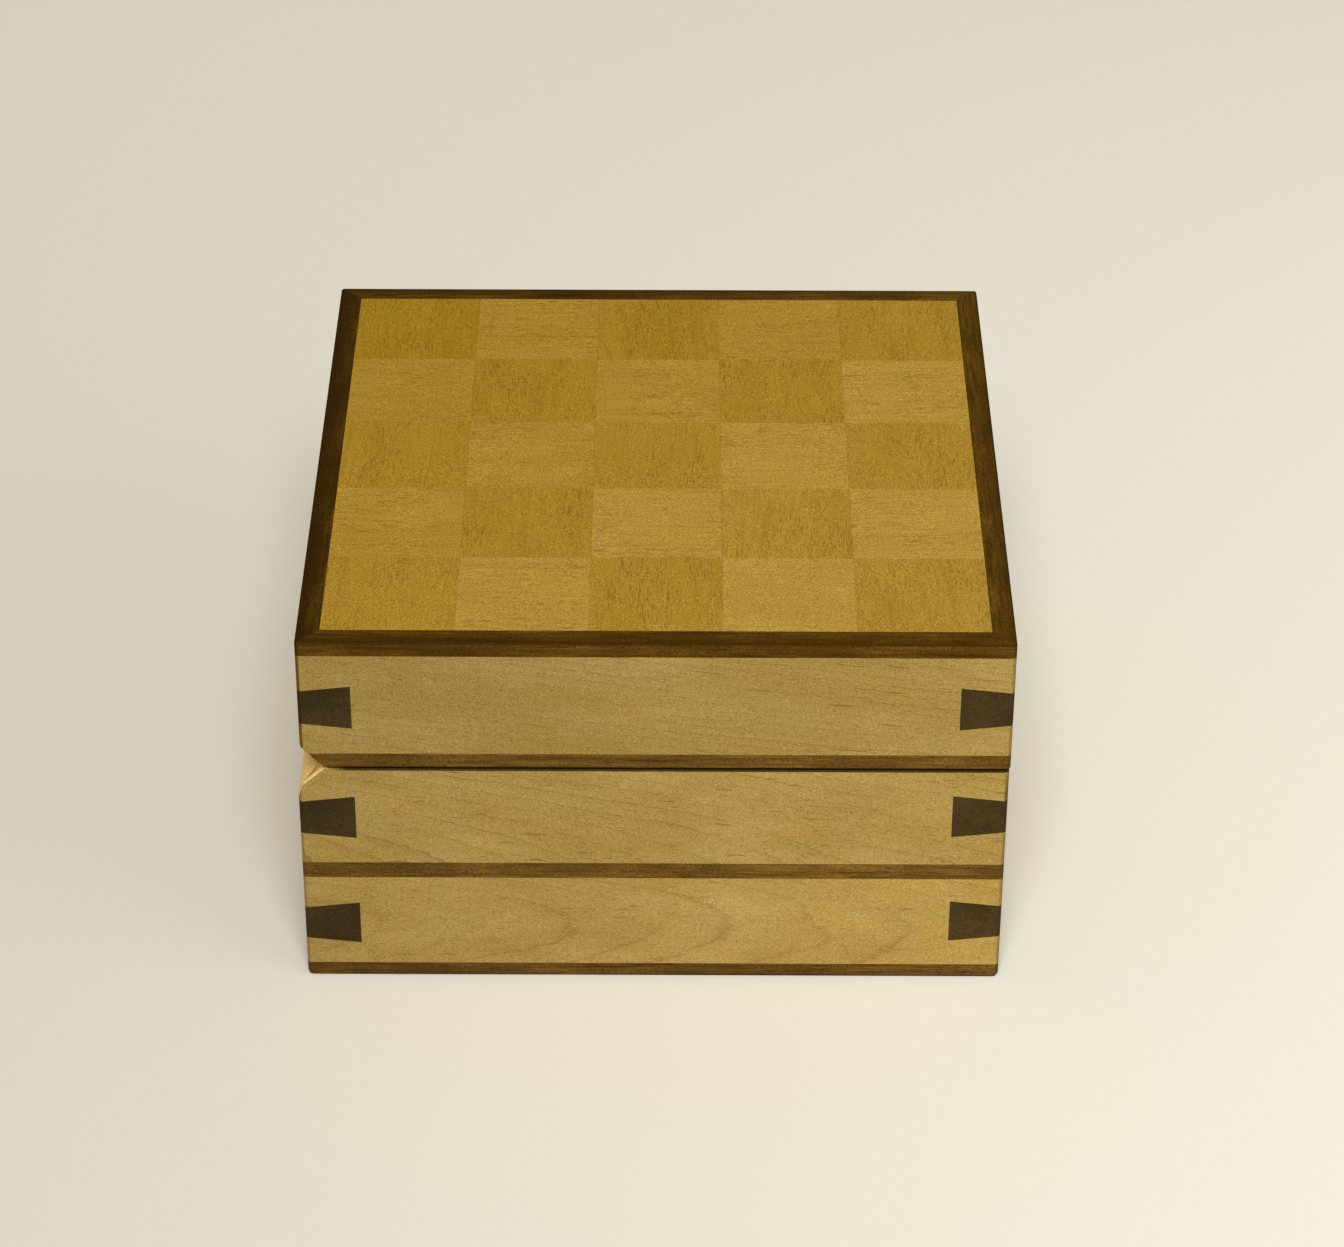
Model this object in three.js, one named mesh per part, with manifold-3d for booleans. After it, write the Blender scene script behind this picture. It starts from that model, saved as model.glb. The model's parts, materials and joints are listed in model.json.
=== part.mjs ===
// A wooden puzzle box of three tiers.
// Maple walls with mitred corners, a dark dovetail key across every corner, walnut bands
// between the tiers, a parquet top in a walnut frame, a lid on two concealed barrel hinges,
// a tilt lock hidden in the right-hand wall, and a lift-out floor over a lower compartment.
// Millimetres, +Z up. The origin is under the middle of the box, on the surface it stands on.
// The front faces -Y. The lid hinges along the left side, which faces -X.

import * as THREE from 'three';
import { mergeVertices } from 'three/addons/utils/BufferGeometryUtils.js';
import Module from 'manifold-3d';

const wasm = await Module();
wasm.setup();

// ---- Driving dimensions ----

const WIDTH = 152.4; // outside width of the lid
const DEPTH = 152.4; // outside depth of the lid and of the box
const BOX_EXTRA_WIDTH = 0.6; // the box is this much wider than its lid
const LID_PROUD = 0.2; // the lid stands this far proud of the box on the right
const WALL = 12; // wall thickness
const GLUE = 0.05; // width of a glue line

// Heights of the layers, from the table up.
const BASE_BAND = 3.55;
const LOWER_WALL = 23.55;
const MID_BAND = 4.05;
const UPPER_WALL = 24.9;
const LID_GAP = 0.4; // the closed lid stands off the walls by this much
const LID_BAND = 3.8;
const LID_WALL = 25.1;
const TOP_FRAME = 3.45;

// The parquet top.
const FRAME_WIDTH = 5;
const SQUARES_PER_SIDE = 5;
const SQUARE_THICKNESS = 1;
const SQUARE_RECESS = 0.05; // the parquet lies this much below the frame

// The dovetail keys, let into slots cut across the corners.
const KEY_TIP_HEIGHT = 8.2; // at the corner
const KEY_FLARE_DEG = 9; // slope of a dovetail cutter
// Each key's middle height and its depth along the corner's diagonal, for the lower, upper and lid
// tiers. They are hand-set, because the slots are not cut quite alike.
const KEYS_LEFT = [{ z: 14.6, depth: 8.6 }, { z: 43.25, depth: 8.6 }, { z: 72.15, depth: 8.05 }];
const KEYS_RIGHT = [{ z: 15.6, depth: 8.1 }, { z: 44, depth: 8.4 }, { z: 72.25, depth: 8.05 }];

// The bottom and the lift-out floor.
const BOTTOM_THICKNESS = 4;
const REBATE_DEPTH = 4;
const PANEL_PLAY = 0.3;
const FLOOR_THICKNESS = 3;
const FLOOR_PLAY = 1.1; // enough to lift the floor out past the lid, which is a little to one side
const FLOOR_LEDGE = 3; // the middle band stands in by this much and carries the floor
const FINGER_HOLE_RADIUS = 9;

// The bevels along the left side let the lid open. The lid's starts this far in along its lower edge and
// ends this far up its left face. The box's is square to it, so the two meet when the lid is upright.
const BEVEL_IN = 5;
const BEVEL_UP = 5.6;

// The barrel hinges.
const HINGE_SPACING = 90;
const BARREL_RADIUS = 3.5;
const BARREL_LENGTH = 13;
const BARREL_PLAY = 0.1;
const EYE_RADIUS = 2.1;
const EYE_CLEARANCE = 0.3;
const TONGUE_THICKNESS = 2;
const EAR_THICKNESS = 1.2;
const EAR_PLAY = 0.15;
const PIN_RADIUS = 0.8;
const PIN_FIT = 0.04;
const PIN_PLAY = 0.09;

// The tilt lock.
const PLATE_LENGTH = 54;
const PLATE_WIDTH = 8.6;
const PLATE_THICKNESS = 1.5;
const FIT = 0.1; // a metal piece in its recess
const BOLT_LENGTH = 20;
const BOLT_WIDTH = 3;
const BOLT_HEIGHT = 9;
const BOLT_TRAVEL = 10;
const BOLT_PLAY = 0.2;
const BOLT_OFFSET = 1.2; // out from the wall's middle, over the keeper's hook
const BOLT_REST_GAP = 2.7; // the unlocked bolt lies this far short of the keeper
const KEEPER_LENGTH = 12;
const KEEPER_THICKNESS = 1.5;
const KEEPER_DROP = 13.85; // from the lid's lower edge to the underside of the hook
const KEEPER_HOOK = 4.2; // across the hook, with the leg
const KEEPER_Y = 11; // middle of the keeper along the wall
const KEEPER_PLAY = 1;
const FLANGE_LENGTH = 28;
const FLANGE_WIDTH = 8;
const FLANGE_THICKNESS = 1.5;
const SCREW_SPACING = 21;
const SCREW_LENGTH = 10;
const SCREW_RADIUS = 1.1;
const SCREW_HEAD_RADIUS = 2.2;
const SCREW_HEAD_HEIGHT = 1.1;
const SCREW_PLAY = 0.1;

const ROUND_SEGMENTS = 32;

// ---- Outlines, levels and places ----

// Half of the width and of the depth outside, and where the middle lies along X.
const BOX = { halfX: (WIDTH + BOX_EXTRA_WIDTH) / 2, halfY: DEPTH / 2, x: 0 };
const LID = { halfX: WIDTH / 2, halfY: DEPTH / 2, x: BOX.halfX + LID_PROUD - WIDTH / 2 };

const Z_LOWER_WALL = BASE_BAND;
const Z_MID_BAND = Z_LOWER_WALL + LOWER_WALL;
const Z_UPPER_WALL = Z_MID_BAND + MID_BAND;
const Z_RIM = Z_UPPER_WALL + UPPER_WALL;
const Z_LID_BAND = Z_RIM + LID_GAP;
const Z_LID_WALL = Z_LID_BAND + LID_BAND;
const Z_TOP_FRAME = Z_LID_WALL + LID_WALL;

// The hinges' axis runs where the two bevels meet.
const Z_PIVOT = Z_RIM + LID_GAP / 2;
const X_PIVOT = LID.x - LID.halfX + BEVEL_IN;
const HINGE_PLACES = { front: -HINGE_SPACING / 2, back: HINGE_SPACING / 2 };

// The lock lies in the middle of the right-hand wall.
const X_LOCK = BOX.halfX - WALL / 2;
const BOLT_X = X_LOCK + BOLT_OFFSET;
const BOLT_TOP = Z_RIM - PLATE_THICKNESS - 2 * FIT - BOLT_PLAY;
const BOLT_Y0 = KEEPER_Y - KEEPER_LENGTH / 2 - BOLT_LENGTH - BOLT_REST_GAP; // unlocked
const HOOK_Z0 = Z_LID_BAND - KEEPER_DROP;
const KEEPER_X0 = X_LOCK - KEEPER_HOOK / 2;
const SCREW_PLACES = { front: KEEPER_Y - SCREW_SPACING / 2, back: KEEPER_Y + SCREW_SPACING / 2 };

const PAST = 2; // cutters run this far past the wood they cut
const QUARTER_TURN = Math.PI / 2;

// Side 0 is the front. Each next side is a quarter turn on, and so is each next corner.
const SIDE_NAMES = ['front', 'right', 'back', 'left'];
const CORNERS = [
  { name: 'front_right', x: 1, y: -1, keys: KEYS_RIGHT },
  { name: 'back_right', x: 1, y: 1, keys: KEYS_RIGHT },
  { name: 'back_left', x: -1, y: 1, keys: KEYS_LEFT },
  { name: 'front_left', x: -1, y: -1, keys: KEYS_LEFT },
];
const TIER_NAMES = ['lower', 'upper', 'lid'];

// ---- Materials ----

const finish = (color, roughness, metalness) => ({ color, roughness, metalness });
const MAPLE = finish(0xb8914a, 0.45, 0);
const MAPLE_SQUARE = finish(0xb08a45, 0.4, 0);
const WALNUT = finish(0x5f4524, 0.45, 0);
const KEY_WOOD = finish(0x2a2119, 0.4, 0);
const PLYWOOD = finish(0xc9ab78, 0.6, 0);
const BRASS = finish(0xb8913f, 0.3, 1);
const STEEL = finish(0x9a9da1, 0.35, 1);

// ---- Solids ----

/** Turns a closed three.js geometry into a solid that can be cut and joined. */
function solid(geometry) {
  const bare = geometry.clone();
  bare.deleteAttribute('normal');
  bare.deleteAttribute('uv');
  const merged = mergeVertices(bare, 1e-4);
  return new wasm.Manifold(new wasm.Mesh({
    numProp: 3,
    vertProperties: new Float32Array(merged.attributes.position.array),
    triVerts: new Uint32Array(merged.index.array),
  }));
}

/** Turns a solid back into a three.js geometry. */
function geometryOf(shape) {
  const mesh = shape.getMesh();
  const geometry = new THREE.BufferGeometry();
  geometry.setAttribute('position', new THREE.BufferAttribute(mesh.vertProperties, 3));
  geometry.setIndex(new THREE.BufferAttribute(mesh.triVerts, 1));
  geometry.computeVertexNormals();
  return geometry;
}

/** Cuts every cutter from a geometry. */
function cut(geometry, cutters) {
  let shape = solid(geometry);
  for (const cutter of cutters) {
    shape = shape.subtract(solid(cutter));
  }
  return geometryOf(shape);
}

/** A named mesh with its own material. */
function piece(name, geometry, look) {
  const mesh = new THREE.Mesh(geometry, new THREE.MeshStandardMaterial(look));
  mesh.name = name;
  return mesh;
}

/** A block between two corners. */
function block(low, high) {
  const size = high.map((value, i) => value - low[i]);
  const middle = high.map((value, i) => (value + low[i]) / 2);
  return new THREE.BoxGeometry(...size).translate(...middle);
}

/** A prism standing on the XY plane between two heights. */
function prismUp(points, z0, z1) {
  const outline = new THREE.Shape(points.map(([x, y]) => new THREE.Vector2(x, y)));
  return new THREE.ExtrudeGeometry(outline, { depth: z1 - z0, bevelEnabled: false }).translate(0, 0, z0);
}

/** A prism along Y, from an outline of [x, z] points. */
function prismAlong(points, y0, y1) {
  const outline = new THREE.Shape(points.map(([x, z]) => new THREE.Vector2(x, z)));
  return new THREE.ExtrudeGeometry(outline, { depth: y1 - y0, bevelEnabled: false })
    .rotateX(Math.PI / 2)
    .translate(0, y1, 0);
}

/** A cylinder along Y. */
function rodAlong(x, z, radius, y0, y1) {
  return new THREE.CylinderGeometry(radius, radius, y1 - y0, ROUND_SEGMENTS).translate(x, (y0 + y1) / 2, z);
}

/** An upright cylinder. */
function rodUp(x, y, radius, z0, z1) {
  return new THREE.CylinderGeometry(radius, radius, z1 - z0, ROUND_SEGMENTS)
    .rotateX(Math.PI / 2)
    .translate(x, y, (z0 + z1) / 2);
}

/** A slab over an outline, set in from it all round. */
function slab(outline, inset, z0, z1) {
  const x = outline.halfX - inset;
  const y = outline.halfY - inset;
  return block([outline.x - x, -y, z0], [outline.x + x, y, z1]);
}

// ---- Mitred wood ----

/** A strip with mitred ends, on one side of an outline. */
function mitredStrip(outline, side, width, z0, z1) {
  const alongX = side % 2 === 0;
  const end = (alongX ? outline.halfX : outline.halfY) - GLUE / 2;
  const out = alongX ? outline.halfY : outline.halfX;
  const plan = [[-end, -out], [end, -out], [end - width, width - out], [width - end, width - out]];
  return prismUp(plan, z0, z1).rotateZ(side * QUARTER_TURN).translate(outline.x, 0, 0);
}

/** Four mitred strips round an outline, each cut by the same list of cutters. */
function mitredRing(group, outline, layer, cutters) {
  SIDE_NAMES.forEach((side, i) => {
    const strip = mitredStrip(outline, i, layer.width, layer.z, layer.z + layer.height);
    group.add(piece(`${group.name}_${side}_${layer.suffix}`, cut(strip, cutters), layer.look));
  });
}

/** A bar of dovetail section across a corner, grown by a margin, before it is cut flush. */
function keyBar(outline, tier, index, margin) {
  const corner = CORNERS[index];
  const key = corner.keys[tier];
  const slope = Math.tan(THREE.MathUtils.degToRad(KEY_FLARE_DEG));
  const end = key.depth + margin;
  const outerHalf = KEY_TIP_HEIGHT / 2 - PAST * slope + margin;
  const innerHalf = KEY_TIP_HEIGHT / 2 + end * slope + margin;
  const section = [[-PAST, -outerHalf], [end, -innerHalf], [end, innerHalf], [-PAST, outerHalf]];
  const reach = key.depth + PAST;
  return prismAlong(section, -reach, reach)
    .rotateZ((index + 1.5) * QUARTER_TURN)
    .translate(outline.x + corner.x * outline.halfX, corner.y * outline.halfY, key.z);
}

/** The four corner slots of a tier. */
function keySlots(outline, tier) {
  return CORNERS.map((corner, index) => keyBar(outline, tier, index, GLUE));
}

/** Adds a tier's four keys, flush with both faces of their corners. */
function addKeys(group, outline, tier) {
  const whole = solid(slab(outline, 0, 0, Z_TOP_FRAME));
  CORNERS.forEach((corner, index) => {
    const key = solid(keyBar(outline, tier, index, 0)).intersect(whole);
    group.add(piece(`${TIER_NAMES[tier]}_${corner.name}_key`, geometryOf(key), KEY_WOOD));
  });
}

// ---- Cutters ----

/** The bevel up from the lid's lower left edge (up is 1), or down from the box's rim (up is -1). */
function bevelCutter(z, up) {
  const run = up > 0 ? BEVEL_IN : BEVEL_UP;
  const rise = up > 0 ? BEVEL_UP : BEVEL_IN;
  const alongBevel = (part) => [X_PIVOT - part * run, z + up * part * rise];
  const start = alongBevel(-1);
  const end = alongBevel(2);
  return prismAlong([start, [end[0], start[1]], end], -BOX.halfY - PAST, BOX.halfY + PAST);
}

/** The holes that the hinge barrels are pressed into. */
function barrelBores(z0, z1) {
  return Object.values(HINGE_PLACES).map((y) => rodUp(X_PIVOT, y, BARREL_RADIUS + BARREL_PLAY, z0, z1));
}

/** The screws' pilot holes. */
function screwBores() {
  const radius = SCREW_RADIUS + SCREW_PLAY;
  const z1 = Z_LID_BAND + SCREW_LENGTH + PAST;
  return Object.values(SCREW_PLACES).map((y) => rodUp(X_LOCK, y, radius, Z_LID_BAND - PAST, z1));
}

// ---- The box ----

/** Base band, lower wall and their keys, and the bottom panel in its rebate. */
function buildLowerTier() {
  const lower = new THREE.Group();
  lower.name = 'lower';
  const band = { suffix: 'band', look: WALNUT, width: WALL, z: 0, height: BASE_BAND };
  mitredRing(lower, BOX, band, []);

  const rebateInset = WALL - REBATE_DEPTH;
  const panelZ = Z_LOWER_WALL + GLUE;
  const rebateTop = panelZ + BOTTOM_THICKNESS + GLUE;
  const rebate = slab(BOX, rebateInset, Z_LOWER_WALL - PAST, rebateTop);
  const board = { suffix: 'board', look: MAPLE, width: WALL, z: Z_LOWER_WALL, height: LOWER_WALL };
  mitredRing(lower, BOX, board, [rebate, ...keySlots(BOX, 0)]);
  addKeys(lower, BOX, 0);

  const panel = slab(BOX, rebateInset + PANEL_PLAY, panelZ, panelZ + BOTTOM_THICKNESS);
  lower.add(piece('bottom_panel', panel, PLYWOOD));
  return lower;
}

/** Middle band, which stands in as a ledge, upper wall and their keys. */
function buildUpperTier() {
  const upper = new THREE.Group();
  upper.name = 'upper';
  const bandWidth = WALL + FLOOR_LEDGE;
  const band = { suffix: 'band', look: WALNUT, width: bandWidth, z: Z_MID_BAND, height: MID_BAND };
  mitredRing(upper, BOX, band, []);

  const cutters = [
    ...keySlots(BOX, 1),
    bevelCutter(Z_RIM, -1),
    ...barrelBores(Z_RIM - BARREL_LENGTH - BARREL_PLAY, Z_RIM + PAST),
    ...lockMortise(),
  ];
  const board = { suffix: 'board', look: MAPLE, width: WALL, z: Z_UPPER_WALL, height: UPPER_WALL };
  mitredRing(upper, BOX, board, cutters);
  addKeys(upper, BOX, 1);
  return upper;
}

/** Lid band, lid wall and their keys, the walnut frame, and the parquet on its core. */
function buildLid() {
  const lid = new THREE.Group();
  lid.name = 'lid';
  const bevel = bevelCutter(Z_LID_BAND, 1);
  const bores = barrelBores(Z_LID_BAND - PAST, Z_LID_BAND + BARREL_LENGTH + BARREL_PLAY);
  const recessX = FLANGE_WIDTH / 2 + FIT;
  const recessY = FLANGE_LENGTH / 2 + FIT;
  const flangeRecess = block(
    [X_LOCK - recessX, KEEPER_Y - recessY, Z_LID_BAND - PAST],
    [X_LOCK + recessX, KEEPER_Y + recessY, Z_LID_BAND + GLUE + FLANGE_THICKNESS + FIT],
  );
  const band = { suffix: 'band', look: WALNUT, width: WALL, z: Z_LID_BAND, height: LID_BAND };
  mitredRing(lid, LID, band, [bevel, ...bores, flangeRecess, ...screwBores()]);
  const board = { suffix: 'board', look: MAPLE, width: WALL, z: Z_LID_WALL, height: LID_WALL };
  mitredRing(lid, LID, board, [bevel, ...bores, ...screwBores(), ...keySlots(LID, 2)]);
  addKeys(lid, LID, 2);

  const frame = { suffix: 'frame', look: WALNUT, width: FRAME_WIDTH, z: Z_TOP_FRAME, height: TOP_FRAME };
  mitredRing(lid, LID, frame, []);
  const parquetInset = FRAME_WIDTH + GLUE;
  const parquetTop = Z_TOP_FRAME + TOP_FRAME - SQUARE_RECESS;
  const parquetZ = parquetTop - SQUARE_THICKNESS;
  lid.add(piece('lid_core', slab(LID, parquetInset, Z_TOP_FRAME + GLUE, parquetZ - GLUE), PLYWOOD));
  const halfX = LID.halfX - parquetInset;
  const halfY = LID.halfY - parquetInset;
  const pitch = 2 * halfY / SQUARES_PER_SIDE;
  for (let row = 0; row < SQUARES_PER_SIDE; row += 1) {
    const y0 = -halfY + row * pitch;
    const low = [LID.x - halfX, y0 + GLUE / 2, parquetZ];
    const high = [LID.x + halfX, y0 + pitch - GLUE / 2, parquetTop];
    lid.add(piece(`parquet_row_${row + 1}`, block(low, high), MAPLE_SQUARE));
  }
  return lid;
}

/** The lift-out floor, with a finger hole. It rests on the middle band's ledge. */
function buildFloor() {
  const z0 = Z_UPPER_WALL + GLUE;
  const panel = slab(BOX, WALL + FLOOR_PLAY, z0, z0 + FLOOR_THICKNESS);
  const hole = rodUp(0, 0, FINGER_HOLE_RADIUS, z0 - PAST, z0 + FLOOR_THICKNESS + PAST);
  return piece('lift_out_floor', cut(panel, [hole]), PLYWOOD);
}

// ---- The barrel hinges ----

/** Half of a hinge barrel, above or below the pivot, with its outer shoulder cut to the bevel. */
function halfBarrel(y, up) {
  const z0 = Z_PIVOT + up * LID_GAP / 2;
  const z1 = z0 + up * BARREL_LENGTH;
  const barrel = rodUp(X_PIVOT, y, BARREL_RADIUS, Math.min(z0, z1), Math.max(z0, z1));
  return solid(barrel).subtract(solid(bevelCutter(z0, up)));
}

/** A flat round eye or a round clearance about the pivot. */
function eye(y, from, to, radius) {
  return solid(rodAlong(X_PIVOT, Z_PIVOT, radius, y + from, y + to));
}

/** One hinge: the lid's barrel with two ears, the box's barrel with a tongue, and the pin. */
function addHinge(base, lid, name, y) {
  const tongue = TONGUE_THICKNESS / 2;
  const earIn = tongue + EAR_PLAY;
  const earOut = earIn + EAR_THICKNESS;
  const clear = EYE_RADIUS + EYE_CLEARANCE;

  let lidBarrel = halfBarrel(y, 1).subtract(eye(y, -earIn, earIn, clear));
  let baseBarrel = halfBarrel(y, -1);
  const gapIn = earIn - EAR_PLAY / 2;
  const gapOut = earOut + EAR_PLAY;
  lidBarrel = lidBarrel.add(eye(y, -earOut, -earIn, EYE_RADIUS)).add(eye(y, earIn, earOut, EYE_RADIUS));
  baseBarrel = baseBarrel.subtract(eye(y, -gapOut, -gapIn, clear)).subtract(eye(y, gapIn, gapOut, clear));
  baseBarrel = baseBarrel.add(eye(y, -tongue, tongue, EYE_RADIUS));

  lidBarrel = lidBarrel.subtract(eye(y, -BARREL_RADIUS, BARREL_RADIUS, PIN_RADIUS + PIN_PLAY));
  baseBarrel = baseBarrel.subtract(eye(y, -BARREL_RADIUS, BARREL_RADIUS, PIN_RADIUS + PIN_FIT));
  lid.add(piece(`${name}_hinge_lid_barrel`, geometryOf(lidBarrel), BRASS));
  base.add(piece(`${name}_hinge_base_barrel`, geometryOf(baseBarrel), BRASS));
  base.add(piece(`${name}_hinge_pin`, rodAlong(X_PIVOT, Z_PIVOT, PIN_RADIUS, y - earOut, y + earOut), STEEL));
}

// ---- The tilt lock ----

/** The pocket for the hook, the bolt's channel, and the recess for the plate over both. */
function lockMortise() {
  const plate = [PLATE_WIDTH / 2 + FIT, PLATE_LENGTH / 2 + FIT];
  const plateZ = Z_RIM - PLATE_THICKNESS - 2 * FIT;
  const recess = block([X_LOCK - plate[0], -plate[1], plateZ], [X_LOCK + plate[0], plate[1], Z_RIM + PAST]);
  const pocket = block(
    [KEEPER_X0 - KEEPER_PLAY / 2, KEEPER_Y - KEEPER_LENGTH / 2 - KEEPER_PLAY, HOOK_Z0 - KEEPER_PLAY / 2],
    [KEEPER_X0 + KEEPER_HOOK + KEEPER_PLAY, KEEPER_Y + KEEPER_LENGTH / 2 + KEEPER_PLAY, plateZ + PAST],
  );
  const channel = block(
    [BOLT_X - BOLT_WIDTH / 2 - BOLT_PLAY, BOLT_Y0 - BOLT_PLAY, BOLT_TOP - BOLT_HEIGHT - BOLT_PLAY],
    [BOLT_X + BOLT_WIDTH / 2 + BOLT_PLAY, BOLT_Y0 + BOLT_LENGTH + BOLT_TRAVEL + BOLT_PLAY, plateZ + PAST],
  );
  return [recess, pocket, channel];
}

/** The brass plate over the mortise, with a slot for the keeper. */
function plateGeometry() {
  const top = Z_RIM - FIT;
  const plate = block(
    [X_LOCK - PLATE_WIDTH / 2, -PLATE_LENGTH / 2, top - PLATE_THICKNESS],
    [X_LOCK + PLATE_WIDTH / 2, PLATE_LENGTH / 2, top],
  );
  const slot = block(
    [KEEPER_X0 - KEEPER_PLAY / 2, KEEPER_Y - KEEPER_LENGTH / 2 - KEEPER_PLAY, top - PLATE_THICKNESS - PAST],
    [KEEPER_X0 + KEEPER_HOOK + KEEPER_PLAY, KEEPER_Y + KEEPER_LENGTH / 2 + KEEPER_PLAY, top + PAST],
  );
  return cut(plate, [slot]);
}

/** The bar that falls along its channel when the box is tipped, and holds the keeper's hook. */
function boltGeometry() {
  return block(
    [BOLT_X - BOLT_WIDTH / 2, BOLT_Y0, BOLT_TOP - BOLT_HEIGHT],
    [BOLT_X + BOLT_WIDTH / 2, BOLT_Y0 + BOLT_LENGTH, BOLT_TOP],
  );
}

/** A countersunk screw pointing up, grown by a margin. */
function screwGeometry(y, margin) {
  const head = SCREW_HEAD_RADIUS + margin;
  const shank = SCREW_RADIUS + margin;
  const profile = [
    [0, -margin],
    [head, -margin],
    [shank, SCREW_HEAD_HEIGHT + margin],
    [shank, SCREW_LENGTH - 2 * SCREW_RADIUS],
    [0, SCREW_LENGTH],
  ];
  const points = profile.map(([r, h]) => new THREE.Vector2(r, h));
  return new THREE.LatheGeometry(points, ROUND_SEGMENTS / 2)
    .rotateX(Math.PI / 2)
    .translate(X_LOCK, y, Z_LID_BAND + GLUE);
}

/** The lid's keeper: a flange let into the lid band, a leg, and a hook under the bolt. */
function keeperGeometry() {
  const z0 = Z_LID_BAND + GLUE;
  const flange = block(
    [X_LOCK - FLANGE_WIDTH / 2, KEEPER_Y - FLANGE_LENGTH / 2, z0],
    [X_LOCK + FLANGE_WIDTH / 2, KEEPER_Y + FLANGE_LENGTH / 2, z0 + FLANGE_THICKNESS],
  );
  const legX = KEEPER_X0 + KEEPER_THICKNESS;
  const hookTop = HOOK_Z0 + KEEPER_THICKNESS;
  const hookEnd = KEEPER_X0 + KEEPER_HOOK;
  const legTop = z0 + FLANGE_THICKNESS / 2;
  const section = [
    [KEEPER_X0, HOOK_Z0],
    [hookEnd, HOOK_Z0],
    [hookEnd, hookTop],
    [legX, hookTop],
    [legX, legTop],
    [KEEPER_X0, legTop],
  ];
  const leg = prismAlong(section, KEEPER_Y - KEEPER_LENGTH / 2, KEEPER_Y + KEEPER_LENGTH / 2);
  let keeper = solid(flange).add(solid(leg));
  for (const y of Object.values(SCREW_PLACES)) {
    keeper = keeper.subtract(solid(screwGeometry(y, SCREW_PLAY)));
  }
  return geometryOf(keeper);
}

/** Adds the lock's pieces. */
function addLock(base, lid) {
  base.add(piece('lock_plate', plateGeometry(), BRASS));
  base.add(piece('lock_bolt', boltGeometry(), STEEL));
  lid.add(piece('lid_keeper', keeperGeometry(), BRASS));
  for (const [name, y] of Object.entries(SCREW_PLACES)) {
    lid.add(piece(`keeper_${name}_screw`, screwGeometry(y, 0), STEEL));
  }
}

// ---- Assembly ----

const box = new THREE.Group();
const base = new THREE.Group();
base.add(buildLowerTier(), buildUpperTier());
const lid = buildLid();
for (const [name, y] of Object.entries(HINGE_PLACES)) {
  addHinge(base, lid, name, y);
}
addLock(base, lid);
box.add(base, lid, buildFloor());

export default box;
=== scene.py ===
"""The looks of a wooden puzzle box: oiled wood, parquet, plywood, brass and steel.

Every visible piece is the CAD solid with its outer arrises eased, so it stays where the CAD puts it.
The parquet's rows are made again as separate squares, each inside its row's box.
Metres, +Z up. The front faces -Y and the lid hinges along the left side.
"""

import json
import math
import random

import bmesh
import bpy
from mathutils import Euler, Matrix, Vector


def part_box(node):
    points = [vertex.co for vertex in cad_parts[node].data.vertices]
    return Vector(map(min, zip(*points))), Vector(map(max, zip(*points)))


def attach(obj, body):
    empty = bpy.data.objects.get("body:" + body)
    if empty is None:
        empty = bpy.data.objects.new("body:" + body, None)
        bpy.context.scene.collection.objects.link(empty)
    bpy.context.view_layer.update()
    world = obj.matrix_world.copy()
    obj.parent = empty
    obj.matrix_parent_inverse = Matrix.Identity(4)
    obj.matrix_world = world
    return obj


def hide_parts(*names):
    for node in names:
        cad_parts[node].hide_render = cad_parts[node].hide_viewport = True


MM = 0.001

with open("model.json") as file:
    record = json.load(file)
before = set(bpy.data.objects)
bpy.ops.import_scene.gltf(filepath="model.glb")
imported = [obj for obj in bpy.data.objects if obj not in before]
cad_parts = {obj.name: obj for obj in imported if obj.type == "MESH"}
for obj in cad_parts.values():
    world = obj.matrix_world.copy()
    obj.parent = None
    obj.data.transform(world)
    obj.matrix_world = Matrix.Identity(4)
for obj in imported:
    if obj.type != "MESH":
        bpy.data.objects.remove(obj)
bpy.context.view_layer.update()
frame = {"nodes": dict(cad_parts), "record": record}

# ---- Sizes from the frame ----

SIDES = ["front", "right", "back", "left"]
CORNERS = ["front_right", "back_right", "back_left", "front_left"]
TIERS = ["lower", "upper", "lid"]


def ring_box(tier, suffix):
    """The lowest and highest corners of the four pieces of a ring."""
    boxes = [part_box(f"{tier}_{side}_{suffix}") for side in SIDES]
    low = [min(box[0][i] for box in boxes) for i in range(3)]
    high = [max(box[1][i] for box in boxes) for i in range(3)]
    return Vector(low), Vector(high)


BOX_LOW, BOX_HIGH = ring_box("lower", "band")
BOX_HIGH.z = ring_box("upper", "board")[1].z
LID_LOW, LID_HIGH = ring_box("lid", "frame")
LID_LOW.z = ring_box("lid", "band")[0].z
JOINTS = {joint["name"]: joint for joint in frame["record"]["behaviour"]["joints"]}
PIVOT = Vector(JOINTS["lid_hinge"]["pos_m"])

# The lid's bevel leans in by this much for each unit of height, and the box's is square to it.
BAND_LOW, BAND_HIGH = ring_box("lid", "band")
LEAN = (PIVOT.x - BAND_LOW.x) / (BAND_HIGH.z - BAND_LOW.z)

# ---- Camera ----

CAMERA_PLACE = (3.9 * MM, -819.0 * MM, 589.8 * MM)
CAMERA_DIP = 33.722  # degrees below level
CAMERA_ROLL = 0.211  # degrees
SENSOR = 36  # millimetres wide
LENS = 114.1  # millimetres


def make_camera():
    """A long lens in front of the box and above it, looking down at its front and top."""
    data = bpy.data.cameras.new("camera")
    data.sensor_width = SENSOR
    data.lens = LENS
    camera = bpy.data.objects.new("camera", data)
    camera.location = CAMERA_PLACE
    pitch, roll = math.radians(90 - CAMERA_DIP), math.radians(CAMERA_ROLL)
    camera.rotation_euler = (Euler((pitch, 0, 0)).to_matrix() @ Euler((0, 0, roll)).to_matrix()).to_euler()
    bpy.context.scene.collection.objects.link(camera)
    bpy.context.scene.camera = camera


# ---- Mesh tools ----

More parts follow.
